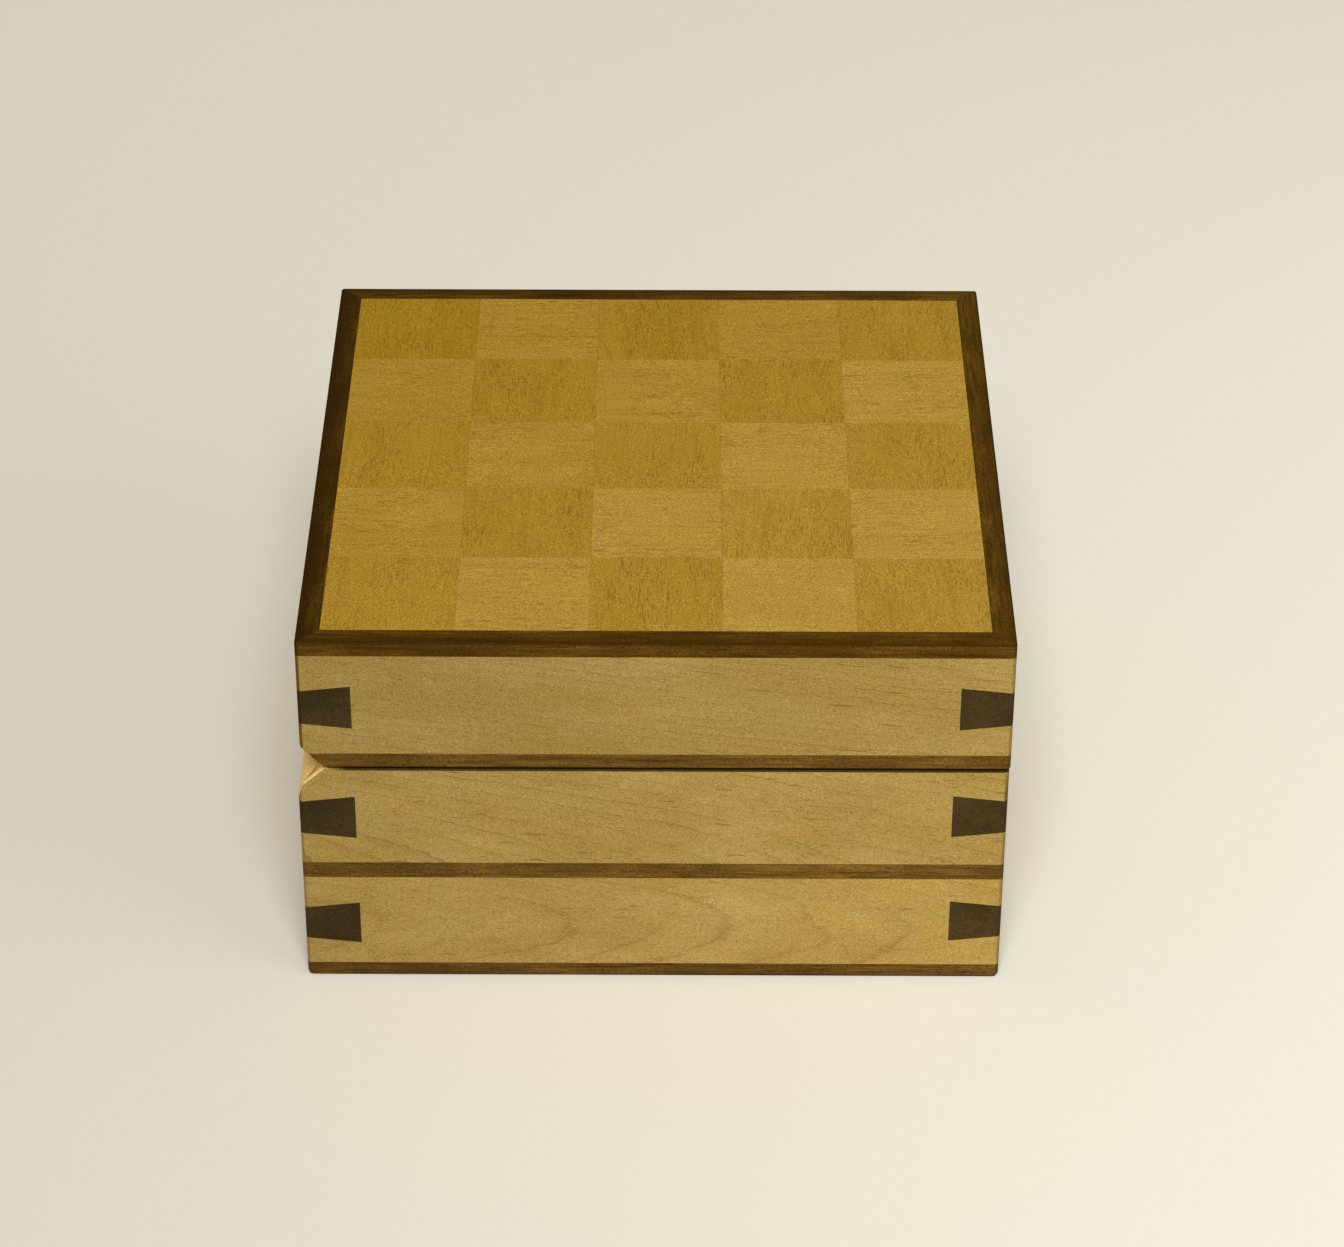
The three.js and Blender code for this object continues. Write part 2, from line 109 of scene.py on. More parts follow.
SKIN = 0.01 * MM  # the eased pieces lie this far inside the CAD faces
SAME_PLACE = 0.001 * MM  # vertices closer than this are one
SAME_PLANE = 0.5  # degrees: faces that meet more flatly than this are one
WOOD_CREASE = 40  # degrees: edges of wood sharper than this stay sharp
METAL_CREASE = 30  # degrees: and those of metal


def new_object(name, mesh):
    """A new object in the scene."""
    obj = bpy.data.objects.new(name, mesh)
    bpy.context.scene.collection.objects.link(obj)
    return obj


def apply_modifiers(obj):
    """Bakes an object's modifiers into its mesh."""
    graph = bpy.context.evaluated_depsgraph_get()
    baked = bpy.data.meshes.new_from_object(obj.evaluated_get(graph))
    obj.modifiers.clear()
    obj.data = baked


def carve(obj, cutter, operation):
    """Cuts an object with another, or keeps what is inside the other."""
    modifier = obj.modifiers.new("carve", "BOOLEAN")
    modifier.operation = operation
    modifier.solver = "EXACT"
    modifier.object = cutter
    apply_modifiers(obj)


def remove(obj):
    """Takes a helper object out of the scene."""
    bpy.data.objects.remove(obj)


def edit(mesh, change):
    """Runs a change on a mesh through bmesh."""
    bm = bmesh.new()
    bm.from_mesh(mesh)
    change(bm)
    bm.to_mesh(mesh)
    bm.free()


def clean(bm):
    """Joins the vertices that a triangulated export splits, and merges flat faces."""
    bmesh.ops.remove_doubles(bm, verts=bm.verts, dist=SAME_PLACE)
    bmesh.ops.dissolve_limit(bm, angle_limit=math.radians(SAME_PLANE), verts=bm.verts, edges=bm.edges)


def cad_copy(node, name):
    """An editable copy of a CAD node's solid."""
    mesh = frame["nodes"][node].data.copy()
    mesh.materials.clear()
    edit(mesh, clean)
    return new_object(name, mesh)


def ease_edges(obj, width, chosen):
    """Rounds the edges for which chosen(middle, direction) is true."""
    def change(bm):
        edges = []
        for edge in bm.edges:
            a, b = (v.co for v in edge.verts)
            if chosen((a + b) / 2, (b - a).normalized()):
                edges.append(edge)
        bmesh.ops.bevel(bm, geom=edges, offset=width, segments=2, profile=0.5, affect="EDGES")
    edit(obj.data, change)


def shade(obj, crease=WOOD_CREASE):
    """Smooth shading that keeps the flat faces flat and the sharp edges sharp."""
    obj.data.shade_smooth()
    obj.data.set_sharp_from_angle(angle=math.radians(crease))
    modifier = obj.modifiers.new("weighted", "WEIGHTED_NORMAL")
    modifier.keep_sharp = True
    apply_modifiers(obj)


def block(name, low, high):
    """A box between two corners."""
    mesh = bpy.data.meshes.new(name)

    def change(bm):
        size = Vector(high) - Vector(low)
        middle = (Vector(high) + Vector(low)) / 2
        bmesh.ops.create_cube(bm, size=1, matrix=Matrix.LocRotScale(middle, None, size))
    edit(mesh, change)
    return new_object(name, mesh)


# ---- The eased envelopes of the box and of the lid ----

# Radii. A side arris runs along the left or right side, an end one along the front or the back.
CORNER = 0.9 * MM  # the upright corners
FOOT_SIDE = 1.4 * MM  # the bottom edge
FOOT_END = 0.5 * MM
RIM_SIDE = 0.4 * MM  # the box's rim, under the lid
RIM_END = 0.3 * MM
LIP_SIDE = 0.5 * MM  # the lid's lower edge
LIP_END = 0.45 * MM
TOP = 0.5 * MM  # the lid's upper edge
BOX_BEVEL_INNER = 0.8 * MM  # the box's bevel at the pivot
BOX_BEVEL_OUTER = 2.2 * MM  # and at the left side
BOX_BEVEL_END = 1.6 * MM
LID_BEVEL_INNER = 3.0 * MM  # the lid's bevel, in the same places
LID_BEVEL_OUTER = 0.3 * MM
LID_BEVEL_END = 0.25 * MM


def envelope(name, low_y, high_y, outline):
    """A solid along Y from its outline, with its edges rounded.

    Each corner of the outline is (x, z, radius of the arris along Y, radius of the edges that run
    on from it along the front and the back).
    """
    mesh = bpy.data.meshes.new(name)

    def change(bm):
        weights = bm.edges.layers.float.new("bevel_weight_edge")
        rings = [[bm.verts.new((x, y, z)) for x, z, _, _ in outline] for y in (low_y, high_y)]
        bm.faces.new(rings[0])
        bm.faces.new(reversed(rings[1]))
        for i, (_, _, arris, end) in enumerate(outline):
            j = (i + 1) % len(outline)
            bm.faces.new((rings[0][j], rings[0][i], rings[1][i], rings[1][j]))
            bm.edges.get((rings[0][i], rings[1][i]))[weights] = arris / MM
            for ring in rings:
                bm.edges.get((ring[i], ring[j]))[weights] = end / MM
        bmesh.ops.recalc_face_normals(bm, faces=bm.faces)
    edit(mesh, change)
    obj = new_object(name, mesh)
    modifier = obj.modifiers.new("ease", "BEVEL")
    modifier.limit_method = "WEIGHT"
    modifier.width = 1 * MM  # times each edge's weight
    modifier.segments = 5
    apply_modifiers(obj)
    return obj


def make_envelopes():
    """The eased outer shapes of the box below its rim, and of the lid."""
    x0, x1 = BOX_LOW.x + SKIN, BOX_HIGH.x - SKIN
    low, rim = BOX_LOW.z + SKIN, BOX_HIGH.z - SKIN
    shoulder = rim - (PIVOT.x - x0) * LEAN
    box = envelope("box_envelope", BOX_LOW.y + SKIN, BOX_HIGH.y - SKIN, [
        (x0, low, FOOT_SIDE, FOOT_END),
        (x1, low, FOOT_SIDE, CORNER),
        (x1, rim, RIM_SIDE, RIM_END),
        (PIVOT.x, rim, BOX_BEVEL_INNER, BOX_BEVEL_END),
        (x0, shoulder, BOX_BEVEL_OUTER, CORNER),
    ])
    x0, x1 = LID_LOW.x + SKIN, LID_HIGH.x - SKIN
    lip, top = LID_LOW.z + SKIN, LID_HIGH.z - SKIN
    shoulder = lip + (PIVOT.x - x0) / LEAN
    lid = envelope("lid_envelope", LID_LOW.y + SKIN, LID_HIGH.y - SKIN, [
        (x0, shoulder, LID_BEVEL_OUTER, LID_BEVEL_END),
        (PIVOT.x, lip, LID_BEVEL_INNER, LIP_END),
        (x1, lip, LIP_SIDE, CORNER),
        (x1, top, TOP, TOP),
        (x0, top, TOP, CORNER),
    ])
    return {"lower": box, "upper": box, "lid": lid}


# ---- Grain ----

RANDOM = random.Random(11)


def axes_of_side(index):
    """Along, up and out for a wall or strip on a side."""
    turn = Matrix.Rotation(index * math.pi / 2, 3, "Z")
    return turn @ Vector((1, 0, 0)), Vector((0, 0, 1)), turn @ Vector((0, -1, 0))


def lay_grain(obj, axes, pith=(0.0, 0.0), tilt=(0.0, 0.0), tone=0.0, fade=0.0, figure=1.0, growth=0.0,
              spread=900.0):
    """Writes where each vertex lies in the tree, in millimetres: X along the fibres, Y and Z from the pith.

    pith is how far the pith lies from the piece's middle, across the face and behind it, and tilt
    is the slope of the fibres across the face and into it, in degrees. The tone is the piece's
    lightness, and grows by fade from its middle to its end along the fibres; on the fronts, the keys
    and the parquet part of it is painted light. The figure is how plainly the rings show, and it
    grows in the same way. The spread is how far along the log, either way, the piece may come from.
    """
    middle = sum((v.co for v in obj.data.vertices), Vector()) / len(obj.data.vertices)
    into = Matrix((axes[0], axes[1], axes[2]))
    slope = Euler((0, math.radians(tilt[1]), math.radians(tilt[0]))).to_matrix()
    shift = Vector((RANDOM.uniform(-spread, spread), pith[0], pith[1]))
    grain = obj.data.attributes.new("grain", "FLOAT_VECTOR", "POINT")
    for vertex in obj.data.vertices:
        place = slope @ (into @ (vertex.co - middle)) / MM + shift
        grain.data[vertex.index].vector = place
    reach = max(abs((vertex.co - middle).dot(axes[0])) for vertex in obj.data.vertices)
    tones = obj.data.attributes.new("tone", "FLOAT", "POINT")
    figures = obj.data.attributes.new("figure", "FLOAT", "POINT")
    for vertex in obj.data.vertices:
        along = (vertex.co - middle).dot(axes[0]) / reach
        tones.data[vertex.index].value = tone + fade * along
        figures.data[vertex.index].value = figure + growth * along


def mark_arrises(obj, darkness):
    """Writes the arris mark at each vertex, from 0 to 1: how dark an eased arris is, or where a panel's
    plies show.
    """
    marks = obj.data.attributes.new("arris", "FLOAT", "POINT")
    for vertex in obj.data.vertices:
        marks.data[vertex.index].value = darkness(vertex.co)


def mark_faces(obj, name, chosen, amount):
    """Writes amount(point) at the corners of the faces for which chosen(middle, normal) is true, else 0."""
    marks = obj.data.attributes.new(name, "FLOAT", "CORNER")
    for face in obj.data.polygons:
        marked = chosen(face.center, face.normal)
        for loop, vertex in zip(face.loop_indices, face.vertices):
            marks.data[loop].value = amount(obj.data.vertices[vertex].co) if marked else 0.0


# How dark the upright corners are, from 0 to 1.
RIGHT_CORNER_DARK = 0.5
LID_LEFT_CORNER_DARK = 1.0
BOX_LEFT_CORNER_DARK = 0.3


def corner_darkness(tier):
    """How dark a point of a tier is: most on the lid's left corners, least on the box's left ones."""
    low, high = (LID_LOW, LID_HIGH) if tier == "lid" else (BOX_LOW, BOX_HIGH)
    middle, half = (low + high) / 2, (high - low) / 2

    def darkness(point):
        x, y = (half[i] - abs(point[i] - middle[i]) for i in (0, 1))
        if not (2 * SKIN < x < CORNER and 2 * SKIN < y < CORNER):
            return 0.0
        if point.x > 0:
            return RIGHT_CORNER_DARK
        return LID_LEFT_CORNER_DARK if tier == "lid" else BOX_LEFT_CORNER_DARK
    return darkness


def everywhere(point):
    """The full amount at any point."""
    return 1.0


# Painted shade on the rim's outer edge, the lid's lower arris and the bottom arris, where the gap under the
# lid and the underside fall dark.
EDGE_SHADE_WIDTH = 1.2 * MM  # how far the dark edge of the rim reaches in
EDGE_SHADE_HEIGHT = 1 * MM  # how far up and down an arris the dark reaches
EDGE_SHADE_START = 1 * MM  # how far from the pivot the dark edges start
EDGE_SHADE_FULL = 4.5 * MM  # and how far from it they are at their darkest
# The upright part of a face's normal: above SLANTED the face leans, and above LEVEL it lies flat.
SLANTED, LEVEL = 0.12, 0.97


def in_edge_shade(point, normal):
    """On the outer edge of the rim, the lid's lower arris or the bottom arris: painted shade of the gap
    under the lid and of the underside.
    """
    near_edge = abs(point.z - PIVOT.z) < EDGE_SHADE_HEIGHT or point.z < EDGE_SHADE_HEIGHT
    middle, half = (BOX_LOW + BOX_HIGH) / 2, (BOX_HIGH - BOX_LOW) / 2
    depth = min(half[i] - abs(point[i] - middle[i]) for i in (0, 1))
    on_rim = normal.z > LEVEL and depth < EDGE_SHADE_WIDTH
    on_arris = SLANTED < abs(normal.z) < LEVEL
    return near_edge and point.x > PIVOT.x + EDGE_SHADE_START and (on_arris or on_rim)


def edge_shade_strength(point):
    """How dark the painted shade on an edge is at a point, growing from the pivot."""
    return min(max((point.x - PIVOT.x - EDGE_SHADE_START) / (EDGE_SHADE_FULL - EDGE_SHADE_START), 0.0), 1.0)


def split_along(obj, point, normal):
    """Divides the faces that a plane crosses, so that the two parts can differ."""
    edit(obj.data, lambda bm: bmesh.ops.bisect_plane(
        bm, geom=bm.verts[:] + bm.edges[:] + bm.faces[:], plane_co=point, plane_no=normal))


GROOVE_REACH = 7 * MM  # the groove's bevels lie this near to the pivot's height
SIDEWAYS = 0.6  # a face whose normal points this far along Y is an end arris


def on_lit_bevel(point, normal):
    """On the bevels of the groove, which carry a painted highlight."""
    on_bevel = normal.x < -SLANTED and abs(normal.z) > SLANTED and abs(normal.y) < SIDEWAYS
    return on_bevel and abs(point.z - PIVOT.z) < GROOVE_REACH


# ---- Materials ----


class Look:
    """A material under construction."""

    def __init__(self, name):
        self.material = bpy.data.materials.new(name)
        self.material.use_nodes = True
        self.tree = self.material.node_tree
        self.shader = self.tree.nodes["Principled BSDF"]

    def plug(self, value, socket):
        """Sets a socket to a value, or links it to another socket."""
        if isinstance(value, bpy.types.NodeSocket):
            self.tree.links.new(value, socket)
        else:
            socket.default_value = value

    def node(self, kind, settings=None, **inputs):
        """A node with its settings and inputs."""
        node = self.tree.nodes.new(kind)
        for key, value in (settings or {}).items():
            setattr(node, key, value)
        for key, value in inputs.items():
            self.plug(value, node.inputs[key])
        return node

    def attribute(self, name, output):
        """A value stored on the mesh."""
        return self.node("ShaderNodeAttribute", {"attribute_name": name}).outputs[output]

    def math(self, operation, a, b=0.0, c=0.0, clamp=False):
        """A sum on single numbers."""
        node = self.node("ShaderNodeMath", {"operation": operation, "use_clamp": clamp})
        for value, socket in zip((a, b, c), node.inputs):
            self.plug(value, socket)
        return node.outputs[0]

    def stretch(self, vector, scale):
        """A vector with each part multiplied."""
        node = self.node("ShaderNodeVectorMath", {"operation": "MULTIPLY"})
        self.plug(vector, node.inputs[0])
        self.plug(scale, node.inputs[1])
        return node.outputs[0]

    def noise(self, vector, scale, detail=2.0, roughness=0.5, distortion=0.0):
        """Fractal noise from 0 to 1, with this many features to the unit along each axis."""
        stretched = self.stretch(vector, scale)
        node = self.node("ShaderNodeTexNoise", Vector=stretched, Scale=1.0, Detail=detail,
                         Roughness=roughness, Distortion=distortion)
        return node.outputs["Fac"]

    def fibrous(self, place, along, across, **settings):
        """Noise drawn out along the fibres: its features to the millimetre along and across them."""
        return self.noise(place, (along, across, across), **settings)

    def spread(self, value, low, high, to_low=0.0, to_high=1.0, smooth=True):
        """Maps low..high to to_low..to_high, clamped."""
        settings = {"interpolation_type": "SMOOTHSTEP" if smooth else "LINEAR"}
        node = self.node("ShaderNodeMapRange", settings)
        for number, socket in zip((value, low, high, to_low, to_high), node.inputs):
            self.plug(number, socket)
        return node.outputs[0]

    def mix(self, factor, a, b):
        """Two colours mixed."""
        node = self.node("ShaderNodeMix", {"data_type": "RGBA"})
        self.plug(factor, node.inputs[0])
        self.plug(a, node.inputs[6])
        self.plug(b, node.inputs[7])
        return node.outputs[2]

    def bump(self, height, strength, distance):
        """Raises the surface by height."""
        node = self.node("ShaderNodeBump", Height=height, Strength=strength, Distance=distance)
        self.plug(node.outputs[0], self.shader.inputs["Normal"])

    def finish(self, colour, roughness, **uniform):
        """Plugs the results into the shader and returns the material."""
        self.plug(colour, self.shader.inputs["Base Color"])
        self.plug(roughness, self.shader.inputs["Roughness"])
        for key, value in uniform.items():
            self.shader.inputs[key.replace("_", " ")].default_value = value
        return self.material


def rgb(red, green, blue):
    """A display colour, 0 to 255, as a linear shader colour."""
    def linear(value):
        value = value / 255
        return value / 12.92 if value <= 0.04045 else ((value + 0.055) / 1.055) ** 2.4
    return (linear(red), linear(green), linear(blue), 1.0)


# The parts of a year's growth at which the wood starts to darken, darkens faster, and stops.
SUMMER, AUTUMN, WINTER = 0.1, 0.84, 0.95
SUMMER_SHARE, AUTUMN_SHARE = 0.2, 0.8  # of a ring's darkness
# How far the rings stray from true circles, in millimetres.
SWAY, RIPPLE, FRAY = 3.0, 1.1, 0.5


def growth_rings(look, place, spacing):
    """Dark latewood lines, one to a year, where the cut face meets the rings round the pith."""
    across = look.node("ShaderNodeVectorMath", {"operation": "LENGTH"})
    look.plug(look.stretch(place, (0.0, 1.0, 1.0)), across.inputs[0])
    slow = look.fibrous(place, 0.012, 0.035, detail=1.0)
    quick = look.fibrous(place, 0.06, 0.17, detail=3.0)
    ragged = look.fibrous(place, 0.35, 1.3, detail=3.0)
    radius = look.math("MULTIPLY_ADD", slow, SWAY, across.outputs["Value"])
    radius = look.math("MULTIPLY_ADD", quick, RIPPLE, radius)
    radius = look.math("MULTIPLY_ADD", ragged, FRAY, radius)
    years = look.math("DIVIDE", radius, spacing)
    season = look.math("FRACT", years)
    each = look.node("ShaderNodeTexWhiteNoise", {"noise_dimensions": "1D"}, W=look.math("FLOOR", years))
    summer = look.math("MULTIPLY", look.spread(season, SUMMER, WINTER), SUMMER_SHARE)
    autumn = look.math("MULTIPLY_ADD", look.spread(season, AUTUMN, WINTER), AUTUMN_SHARE, summer)
    rings = look.math("MULTIPLY", autumn, look.spread(season, WINTER, 1.0, 1.0, 0.0))
    # Some years are half as dark as others, and every ring fades here and there.
    rings = look.math("MULTIPLY", rings, look.math("MULTIPLY_ADD", each.outputs["Value"], 0.5, 0.5))
    gate = look.spread(look.fibrous(place, 0.03, 0.08), 0.34, 0.60, 0.4, 1.0)
    return look.math("MULTIPLY", look.math("MULTIPLY", rings, gate), look.attribute("figure", "Fac"))


OILED_ROUGHNESS = 0.5
TONE_STEP = 0.2  # how much a step of tone changes the brightness


def wood(name, light, dark, line, arris, ring=1.9, ring_strength=0.5, fibre_strength=0.35,
         fleck_strength=0.5, fleck_level=0.6, fleck_step=0.55, streak_strength=0.3, dash_strength=0.0,
         speckle=0.42, mottle=1.0, blush=None, bevel_light=None, sheen=0.07, tone_pale=0.0):
    """Oiled wood, sawn from a tree: growth rings, fibres, flecks, streaks and slow changes of colour.

    The colours are those of pale and dark wood, of the lines in it, of darkened arrises, of reddish
    patches and of the painted light on the groove's bevels. ring is the width of a year's growth in
    millimetres, and fleck_step how many flecks there are to the millimetre of fibre. A step of tone
    takes tone_pale off the strength of the colour.
    """
    # The colour of the painted shade in the gap under the lid and along the bottom edge.
    edge_shade_colour = rgb(44, 26, 4)
    look = Look(name)
    place = look.attribute("grain", "Vector")
    bevel_lit = look.attribute("bevel_light", "Fac")
    rings = growth_rings(look, place, ring)
    # Long and fine along the grain: fibres, short dark flecks, and a few long streaks.
    fibres = look.fibrous(place, 0.09, 1.5, detail=5.0, roughness=0.7)
    flecks = look.fibrous(place, fleck_step, 3.0, detail=1.0)
    flecks = look.spread(flecks, fleck_level, fleck_level + 0.12)
    crowding = look.spread(look.fibrous(place, 0.04, 0.12), 0.42, 0.62)
    flecks = look.math("MULTIPLY", flecks, look.math("MULTIPLY_ADD", crowding, 0.8, 0.2))
    streaks = look.spread(look.fibrous(place, 0.03, 0.5, detail=3.0), 0.55, 0.72)
    # In cloudy areas: slow mottling and reddish patches. In every direction: grit.
    mottles = look.fibrous(place, 0.035, 0.10, detail=4.0, roughness=0.6)
    patches = look.fibrous(place, 0.06, 0.13, distortion=0.4)
    grit = look.fibrous(place, 2.4, 3.4, roughness=0.9)
    # Colours.
    body = look.mix(look.spread(mottles, 0.3, 0.7, 0.5 - 0.5 * mottle, 0.5 + 0.5 * mottle), light, dark)
    if blush:
        body = look.mix(look.spread(patches, 0.5, 0.75, 0.0, 0.4), body, blush)
    body = look.mix(look.math("MULTIPLY", look.spread(fibres, 0.40, 0.66), fibre_strength), body, dark)
    body = look.mix(look.math("MULTIPLY", rings, ring_strength), body, line)
    body = look.mix(look.math("MULTIPLY", streaks, streak_strength), body, line)
    body = look.mix(look.math("MULTIPLY", flecks, fleck_strength), body, line)
    if dash_strength:
        # Rare dashes, longer than the flecks, where the rings show.
        dashes = look.fibrous(place, 0.07, 1.5, detail=1.0)
        dashes = look.spread(dashes, 0.69, 0.75, 0.0, dash_strength)
        dashes = look.math("MULTIPLY", dashes, look.attribute("figure", "Fac"), clamp=True)
        body = look.mix(dashes, body, line)
    # The eased corners and arrises are darker; on the top frame's outer arris this is painted shade.
    darkened = look.math("MULTIPLY", look.attribute("arris", "Fac"), look.spread(grit, 0.2, 0.7, 0.75, 1.0))
    body = look.mix(darkened, body, arris)
    # Painted shade along the rim, under the lid's band and along the bottom edge.
    body = look.mix(look.math("MULTIPLY", look.attribute("edge_shade", "Fac"), 0.9), body, edge_shade_colour)
    # Painted light on the groove's bevels, which face up to the left.
    if bevel_light:
        body = look.mix(bevel_lit, body, bevel_light)
    # Grit changes the brightness, and so does the piece's tone, which carries painted light on some pieces,
    # but not on the painted light of the groove's bevels.
    value = look.spread(grit, 0.3, 0.7, 1 - speckle, 1 + speckle, smooth=False)
    tone = look.math("MULTIPLY", look.attribute("tone", "Fac"), look.math("SUBTRACT", 1.0, bevel_lit))
    value = look.math("MULTIPLY", value, look.math("MULTIPLY_ADD", tone, TONE_STEP, 1.0))
    pale = look.math("MULTIPLY_ADD", tone, -tone_pale, 1.0)
    hue = look.node("ShaderNodeHueSaturation", Color=body, Value=value, Saturation=pale)
    rough = look.math("MULTIPLY_ADD", look.math("SUBTRACT", fibres, 0.5), 0.25, OILED_ROUGHNESS)
    height = look.math("MULTIPLY_ADD", flecks, -0.6, fibres)
    height = look.math("MULTIPLY_ADD", grit, 0.5, height)
    look.bump(height, 0.3, 0.03 * MM)
    return look.finish(hue.outputs[0], rough, Specular_IOR_Level=sheen)


def metal(name, bright, dull, roughness):
    """Brushed metal, a little dull in patches."""
    look = Look(name)
    place = look.attribute("grain", "Vector")
    brushed = look.fibrous(place, 0.25, 6.0, detail=3.0)
    patches = look.fibrous(place, 0.12, 0.2)
    colour = look.mix(look.spread(patches, 0.35, 0.75, 0.0, 0.35), bright, dull)
    colour = look.mix(look.math("MULTIPLY", brushed, 0.3), colour, dull)
    rough = look.math("MULTIPLY_ADD", brushed, 0.15, roughness)
    look.bump(brushed, 0.15, 0.01 * MM)
    return look.finish(colour, rough, Metallic=1.0)


def plywood(name):
    """Birch plywood: pale faces, and dark glue lines between the plies at the edges."""
    cream, tan = rgb(214, 186, 136), rgb(196, 165, 112)
    fibre_brown, glue_brown = rgb(166, 132, 84), rgb(120, 88, 52)
    look = Look(name)
    place = look.attribute("grain", "Vector")
    parts = look.node("ShaderNodeSeparateXYZ", Vector=place)
    # The plies are a millimetre thick and a little wavy.
    wave = look.noise(place, (0.05, 0.05, 0.0))
    depth = look.math("MULTIPLY_ADD", wave, 0.25, parts.outputs[2])
    ply = look.math("PINGPONG", depth, 0.5)
    glue = look.spread(ply, 0.40, 0.48)
    upright = look.attribute("arris", "Fac")
    fibres = look.noise(place, (0.06, 1.2, 0.4), detail=4.0, roughness=0.6)
    mottles = look.fibrous(place, 0.02, 0.06, detail=3.0)
    body = look.mix(look.spread(mottles, 0.35, 0.65), cream, tan)
    body = look.mix(look.math("MULTIPLY", look.spread(fibres, 0.4, 0.8), 0.4), body, fibre_brown)
    body = look.mix(look.math("MULTIPLY", glue, upright), body, glue_brown)
    look.bump(fibres, 0.3, 0.03 * MM)
    return look.finish(body, 0.55, Specular_IOR_Level=0.3)


def make_materials():
    """All the materials, by slot."""
    maple_arris = rgb(106, 76, 6)
    return {
        "maple_board": wood(
            "maple", rgb(175, 147, 85), rgb(163, 133, 69), rgb(118, 84, 26), maple_arris,
            ring_strength=0.6, fleck_strength=0.4, streak_strength=0.12, dash_strength=0.6,
            blush=rgb(174, 136, 64), bevel_light=rgb(246, 203, 127)),
        "maple_parquet": wood(
            "parquet_maple", rgb(188, 148, 57), rgb(171, 130, 40), rgb(120, 79, 13), maple_arris,
            ring=3.0, ring_strength=0.15, fibre_strength=0.7, fleck_level=0.54, fleck_step=0.3,
            streak_strength=0.15, speckle=0.55, mottle=0.4, tone_pale=0.05),
        "walnut_band": wood(
            "walnut", rgb(134, 99, 38), rgb(90, 63, 16), rgb(56, 35, 6), rgb(72, 46, 8),
            ring=1.3, fibre_strength=1.0, streak_strength=0.55, speckle=0.6, bevel_light=rgb(130, 96, 44)),
        "walnut_frame": wood(
            "dark_walnut", rgb(116, 83, 22), rgb(76, 51, 9), rgb(44, 26, 0), rgb(62, 37, 0),
            ring=1.3, fibre_strength=1.0, streak_strength=0.55, speckle=0.6, sheen=0.03),
        "dark_key": wood(
            "key_wood", rgb(70, 54, 26), rgb(53, 40, 17), rgb(34, 24, 6), rgb(46, 32, 10),
            ring_strength=0.2, fibre_strength=0.5, fleck_strength=0.4, speckle=0.5),
        "plywood_panel": plywood("birch_plywood"),
        "brass": metal("brass", rgb(220, 186, 110), rgb(176, 138, 70), 0.26),
        "steel": metal("steel", rgb(180, 182, 186), rgb(134, 136, 140), 0.28),
    }


# ---- The object's pieces ----


# How wide the broken edges are.
FRAME_INNER_EASE = 0.15 * MM
SQUARE_EASE = 0.03 * MM
PANEL_EASE = 0.25 * MM


def settle(obj, node, body, materials, slot):
    """Gives a finished piece its material and its place in the frame."""
    obj.data.materials.clear()
    obj.data.materials.append(materials[slot])
    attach(obj, body)
    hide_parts(node)


def body_of_tier(tier):
    """The CAD body that a tier belongs to."""
    return "lid" if tier == "lid" else "base"


# How the pieces were sawn, in the terms of lay_grain.
# Their fades along the front, darker to the left and lighter to the right, are painted light.
FRONT_CUTS = {
    "lid": {"pith": (60.0, 30.0), "tilt": (6.0, -2.0), "tone": -0.45, "fade": 0.7,
            "figure": 0.65, "growth": 0.5},
    "upper": {"pith": (27.0, 36.0), "tilt": (3.0, -6.5), "fade": 0.6},
    "lower": {"pith": (1.5, 24.0), "tilt": (0.5, -5.7), "tone": 0.5, "fade": 0.75, "figure": 0.7},
}
STRIP_CUT = {"pith": (40.0, 60.0), "tilt": (0.6, 0.4)}
KEY_CUT = {"pith": (20.0, 40.0), "tilt": (3.0, 2.0)}
# On the front bands the fade, lighter to the right, is painted light.
BAND_TONES = {
    "lower": {"tone": -1.1, "fade": 0.3},
    "upper": {"tone": 0.0, "fade": 0.35},
    "lid": {"tone": 0.0, "fade": 0.6},
}
# On the frame's front and back strips the fade, lighter to the right, is painted light.
FRAME_TONES = {
    "front": {"tone": 0.0, "fade": 0.2},
    "right": {"tone": -0.25, "fade": 0.2},
    "back": {"tone": -0.2, "fade": -0.8},
    "left": {"tone": -1.8, "fade": 0.0},
}
# The front keys carry painted light: the left ones darker, the right ones lighter where they face the light
# on the right.
KEY_LIGHT_TONES = {"front_left": {"lower": 0.1, "upper": -0.2, "lid": 0.0},
             "front_right": {"lower": 1.8, "upper": 1.3, "lid": 0.8}}


def random_cut():
    """How some other board was sawn."""
    return {
        "pith": (RANDOM.uniform(-60, 60), RANDOM.uniform(20, 60)),
        "tilt": (RANDOM.uniform(-4, 4), RANDOM.uniform(-8, 8)),
        "tone": RANDOM.uniform(-0.2, 0.2),
        "fade": RANDOM.uniform(-0.2, 0.2),
        "figure": RANDOM.uniform(0.4, 1.0),
    }


